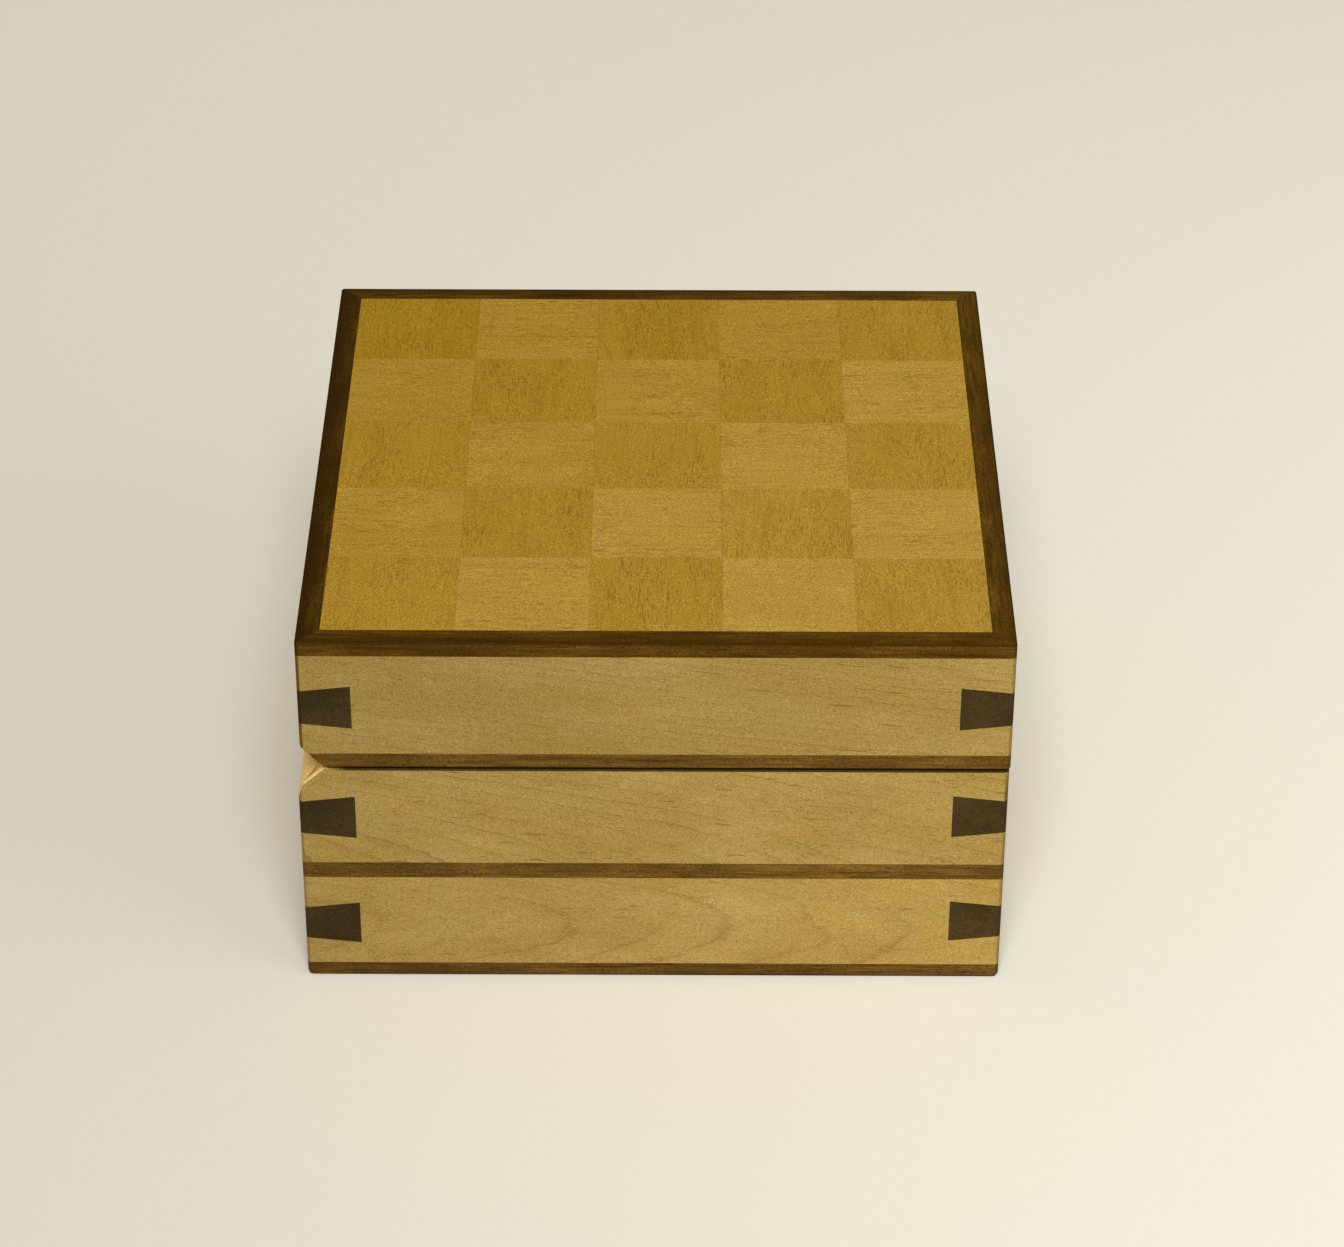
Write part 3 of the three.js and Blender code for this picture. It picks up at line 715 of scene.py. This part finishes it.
def make_walls(envelopes, materials):
    """The mitred boards of the three tiers."""
    for tier in TIERS:
        for index, side in enumerate(SIDES):
            node = f"{tier}_{side}_board"
            wall = cad_copy(node, f"{tier}_{side}_wall")
            carve(wall, envelopes[tier], "INTERSECT")
            if tier == "upper":
                out = axes_of_side(index)[2]
                face = max(v.co.dot(out) for v in wall.data.vertices)
                split_along(wall, out * (face - EDGE_SHADE_WIDTH), out)
                split_along(wall, Vector((PIVOT.x + EDGE_SHADE_FULL, 0, 0)), Vector((1, 0, 0)))
            cut = FRONT_CUTS[tier] if side == "front" else random_cut()
            lay_grain(wall, axes_of_side(index), **cut)
            mark_arrises(wall, corner_darkness(tier))
            mark_faces(wall, "edge_shade", in_edge_shade, edge_shade_strength)
            mark_faces(wall, "bevel_light", on_lit_bevel, everywhere)
            shade(wall)
            settle(wall, node, body_of_tier(tier), materials, "maple_board")


def on_inner_arris(point, width):
    """On the upper inner edge of the top frame."""
    middle = (LID_LOW + LID_HIGH) / 2
    near = [abs(point[i] - middle[i]) < LID_HIGH[i] - middle[i] - width + SKIN for i in (0, 1)]
    return point.z > LID_HIGH.z - SKIN and all(near)


def on_outer_arris(point):
    """On the rounding of the top frame's upper outer edge."""
    middle = (LID_LOW + LID_HIGH) / 2
    depth = min(LID_HIGH[i] - middle[i] - abs(point[i] - middle[i]) for i in (0, 1))
    drop = LID_HIGH.z - point.z
    return 2 * SKIN < depth < TOP and 2 * SKIN < drop < TOP


def make_bands(envelopes, materials):
    """The walnut bands and the walnut frame round the top."""
    for tier in TIERS:
        for index, side in enumerate(SIDES):
            node = f"{tier}_{side}_band"
            band = cad_copy(node, f"{tier}_{side}_strip")
            carve(band, envelopes[tier], "INTERSECT")
            if tier == "lid":
                split_along(band, Vector((PIVOT.x + EDGE_SHADE_FULL, 0, 0)), Vector((1, 0, 0)))
            lay_grain(band, axes_of_side(index), **STRIP_CUT, **BAND_TONES[tier])
            mark_arrises(band, corner_darkness(tier))
            mark_faces(band, "edge_shade", in_edge_shade, edge_shade_strength)
            mark_faces(band, "bevel_light", on_lit_bevel, everywhere)
            shade(band)
            settle(band, node, body_of_tier(tier), materials, "walnut_band")
    for index, side in enumerate(SIDES):
        node = f"lid_{side}_frame"
        strip = cad_copy(node, f"top_frame_{side}")
        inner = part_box("lid_left_frame")[1].x - LID_LOW.x
        ease_edges(strip, FRAME_INNER_EASE, lambda p, d: on_inner_arris(p, inner))
        carve(strip, envelopes["lid"], "INTERSECT")
        lay_grain(strip, axes_of_side(index), **STRIP_CUT, **FRAME_TONES[side])
        # The top frame's outer arris is darkened in full: painted shade.
        mark_arrises(strip, lambda p: 1.0 if on_outer_arris(p) else corner_darkness("lid")(p))
        shade(strip)
        settle(strip, node, "lid", materials, "walnut_frame")


def make_keys(envelopes, materials):
    """The dovetail keys, flush with the eased corners."""
    for tier in TIERS:
        for index, corner in enumerate(CORNERS):
            node = f"{tier}_{corner}_key"
            key = cad_copy(node, f"{tier}_{corner}_spline")
            carve(key, envelopes[tier], "INTERSECT")
            turn = Matrix.Rotation(index * math.pi / 2 + math.pi / 4, 3, "Z")
            axes = (turn @ Vector((1, 0, 0)), Vector((0, 0, 1)), turn @ Vector((0, -1, 0)))
            tone = RANDOM.uniform(-0.3, 0.3)
            if corner in KEY_LIGHT_TONES:
                tone = KEY_LIGHT_TONES[corner][tier]
            lay_grain(key, axes, **KEY_CUT, tone=tone)
            mark_arrises(key, corner_darkness(tier))
            shade(key)
            settle(key, node, body_of_tier(tier), materials, "dark_key")


SQUARES = 5  # along each side of the parquet
SQUARE_GAP = 0.015 * MM
# Painted light: a square is darker where its grain runs front to back, lighter where it runs side
# to side, and lighter towards the front right.
FRONT_TO_BACK_SHADE, SIDE_TO_SIDE_SHEEN = -0.18, 0.42
COLUMN_LIGHT, ROW_LIGHT = 0.12, -0.10


def make_parquet(materials):
    """The twenty-five squares, with the grain turned from square to square."""
    for row in range(SQUARES):
        node = f"parquet_row_{row + 1}"
        low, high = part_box(node)
        pitch = (high.x - low.x) / SQUARES
        for column in range(SQUARES):
            near = Vector((low.x + column * pitch + SQUARE_GAP / 2, low.y, low.z))
            far = Vector((low.x + (column + 1) * pitch - SQUARE_GAP / 2, high.y, high.z))
            square = block(f"parquet_{row + 1}_{column + 1}", near, far)
            ease_edges(square, SQUARE_EASE, lambda p, d: p.z > high.z - SKIN)
            front_to_back = (row + column) % 2 == 0
            turn = Matrix.Rotation(math.pi / 2 if front_to_back else 0.0, 3, "Z")
            axes = (turn @ Vector((1, 0, 0)), turn @ Vector((0, 1, 0)), Vector((0, 0, 1)))
            # Painted light by grain direction and place, and a little random tone of the square's own.
            tone = FRONT_TO_BACK_SHADE if front_to_back else SIDE_TO_SIDE_SHEEN
            tone += RANDOM.uniform(-0.15, 0.15)
            tone += COLUMN_LIGHT * (column - SQUARES // 2) + ROW_LIGHT * (row - SQUARES // 2)
            pith = (RANDOM.uniform(-60, 60), RANDOM.uniform(30, 90))
            tilt = (RANDOM.uniform(-3, 3), RANDOM.uniform(-3, 3))
            lay_grain(square, axes, pith, tilt, tone)
            mark_arrises(square, lambda p: 0.0)
            shade(square)
            settle(square, node, "lid", materials, "maple_parquet")


PANEL_SPREAD = 200.0  # millimetres along the log
FACE_PLY = 0.1 * MM  # the edges show their plies from this far in from either face


def make_panels(materials):
    """The bottom, the lid's core and the lift-out floor."""
    for node, name, body in (
        ("bottom_panel", "bottom", "base"),
        ("lid_core", "parquet_core", "lid"),
        ("lift_out_floor", "loose_floor", "lift_out_floor"),
    ):
        low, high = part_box(node)
        panel = cad_copy(node, name)
        ease_edges(panel, PANEL_EASE,
                   lambda p, d: abs(d.z) < 0.5 and not low.z + SKIN < p.z < high.z - SKIN)
        axes = (Vector((1, 0, 0)), Vector((0, 1, 0)), Vector((0, 0, 1)))
        lay_grain(panel, axes, spread=PANEL_SPREAD)
        mark_arrises(panel, lambda p: 1.0 if low.z + FACE_PLY < p.z < high.z - FACE_PLY else 0.0)
        shade(panel)
        settle(panel, node, body, materials, "plywood_panel")


BREAK_ANGLE = 50  # degrees: metal edges sharper than this are broken


def make_metalwork(materials):
    """The hinges and the lock, with their sharp edges broken."""
    # Node, body, slot, and the width of its broken edges in millimetres.
    parts = [("lock_plate", "base", "brass", 0.15), ("lid_keeper", "lid", "brass", 0.12),
             ("lock_bolt", "lock_bolt", "steel", 0.4)]
    for end in ("front", "back"):
        parts.append((f"{end}_hinge_base_barrel", "base", "brass", 0.08))
        parts.append((f"{end}_hinge_lid_barrel", "lid", "brass", 0.08))
        parts.append((f"{end}_hinge_pin", "base", "steel", 0.1))
    for node, body, slot, width in parts:
        part = cad_copy(node, f"{node}_metal")
        modifier = part.modifiers.new("break", "BEVEL")
        modifier.limit_method = "ANGLE"
        modifier.angle_limit = math.radians(BREAK_ANGLE)
        modifier.width = width * MM
        modifier.segments = 2
        apply_modifiers(part)
        axes = (Vector((0, 1, 0)), Vector((0, 0, 1)), Vector((1, 0, 0)))
        lay_grain(part, axes)
        shade(part, METAL_CREASE)
        settle(part, node, body, materials, slot)
    for end in ("front", "back"):
        make_screw(f"keeper_{end}_screw", materials)


# Half the length and half the width of a screw's slot, and its depth.
HALF_SLOT = Vector((3.0, 0.3, 0.5)) * MM


def make_screw(node, materials):
    """A countersunk screw with a slotted head, facing down."""
    low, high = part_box(node)
    head = Vector(((low.x + high.x) / 2, (low.y + high.y) / 2, low.z))
    screw = cad_copy(node, f"{node}_metal")
    cutter = block("slot", head - HALF_SLOT, head + HALF_SLOT)
    carve(screw, cutter, "DIFFERENCE")
    remove(cutter)
    lay_grain(screw, (Vector((0, 0, 1)), Vector((0, 1, 0)), Vector((1, 0, 0))))
    shade(screw, METAL_CREASE)
    settle(screw, node, "lid", materials, "steel")


# ---- Studio ----


FLOOR_REACH = 6.0  # from the middle to each side
TOOTH = 600.0  # bumps to the metre
# Painted light on the paper: its lightness under the box, how it grows with X, with Y and with X
# times Y in metres, and its limits.
FLOOR_LIGHT_MIDDLE = 1.055
FLOOR_LIGHT_RIGHTWARD, FLOOR_LIGHT_BACKWARD, FLOOR_LIGHT_CROSSED = 0.66, 0.03, -1.15
FLOOR_LIGHT_LEAST, FLOOR_LIGHT_MOST = 0.84, 1.22


def make_floor():
    """A plain pale surface, with painted light that makes it lighter to the right."""
    reach = FLOOR_REACH
    mesh = bpy.data.meshes.new("studio_floor")
    corners = [(-reach, -reach, 0), (reach, -reach, 0), (reach, reach, 0), (-reach, reach, 0)]
    mesh.from_pydata(corners, [], [(0, 1, 2, 3)])
    floor = new_object("studio_floor", mesh)
    look = Look("studio_paper")
    place = look.node("ShaderNodeTexCoord").outputs["Object"]
    tooth = look.noise(place, (TOOTH, TOOTH, TOOTH), detail=3.0)
    colour = look.mix(tooth, rgb(236, 230, 218), rgb(240, 234, 223))
    parts = look.node("ShaderNodeSeparateXYZ", Vector=place)
    # Painted light: the paper grows lighter to the right.
    painted_light = look.math("MULTIPLY_ADD", parts.outputs[0], FLOOR_LIGHT_RIGHTWARD, FLOOR_LIGHT_MIDDLE)
    painted_light = look.math("MULTIPLY_ADD", parts.outputs[1], FLOOR_LIGHT_BACKWARD, painted_light)
    crossed = look.math("MULTIPLY", parts.outputs[0], parts.outputs[1])
    painted_light = look.math("MULTIPLY_ADD", crossed, FLOOR_LIGHT_CROSSED, painted_light)
    value = look.spread(painted_light, FLOOR_LIGHT_LEAST, FLOOR_LIGHT_MOST, FLOOR_LIGHT_LEAST, FLOOR_LIGHT_MOST, smooth=False)
    toned = look.node("ShaderNodeHueSaturation", Color=colour, Value=value)
    floor.data.materials.append(look.finish(toned.outputs[0], 0.9, Specular_IOR_Level=0.1))


LIGHT_TARGET = Vector((0, 0, 0.04))
SKY_COLOUR = (1.0, 0.92, 0.68, 1.0)
SKY_STRENGTH = 0.266


def make_light(name, place, size, power, colour):
    """A soft square light aimed at the box."""
    data = bpy.data.lights.new(name, "AREA")
    data.shape = "SQUARE"
    data.size = size
    data.energy = power
    data.color = colour
    lamp = bpy.data.objects.new(name, data)
    lamp.location = place
    lamp.rotation_euler = (LIGHT_TARGET - Vector(place)).to_track_quat("-Z", "Y").to_euler()
    lamp.visible_camera = False
    bpy.context.scene.collection.objects.link(lamp)


def make_lights():
    """A far high soft light in front, a weaker one on the right, and a dim even warm sky."""
    make_light("high", place=(0.05, -2.6, 3.4), size=1.8, power=139.0, colour=(0.96, 0.995, 1.0))
    make_light("side", place=(1.4, -0.8, 1.0), size=1.2, power=5.0, colour=(0.80, 0.97, 1.0))
    world = bpy.data.worlds.new("studio_sky")
    world.use_nodes = True
    background = world.node_tree.nodes["Background"]
    background.inputs["Color"].default_value = SKY_COLOUR
    background.inputs["Strength"].default_value = SKY_STRENGTH
    bpy.context.scene.world = world


# ---- The scene ----

make_camera()
bpy.context.scene.view_settings.view_transform = "Standard"
MATERIALS = make_materials()
ENVELOPES = make_envelopes()
make_walls(ENVELOPES, MATERIALS)
make_bands(ENVELOPES, MATERIALS)
make_keys(ENVELOPES, MATERIALS)
for tier in ("lower", "lid"):
    remove(ENVELOPES[tier])
make_parquet(MATERIALS)
make_panels(MATERIALS)
make_metalwork(MATERIALS)
make_floor()
make_lights()
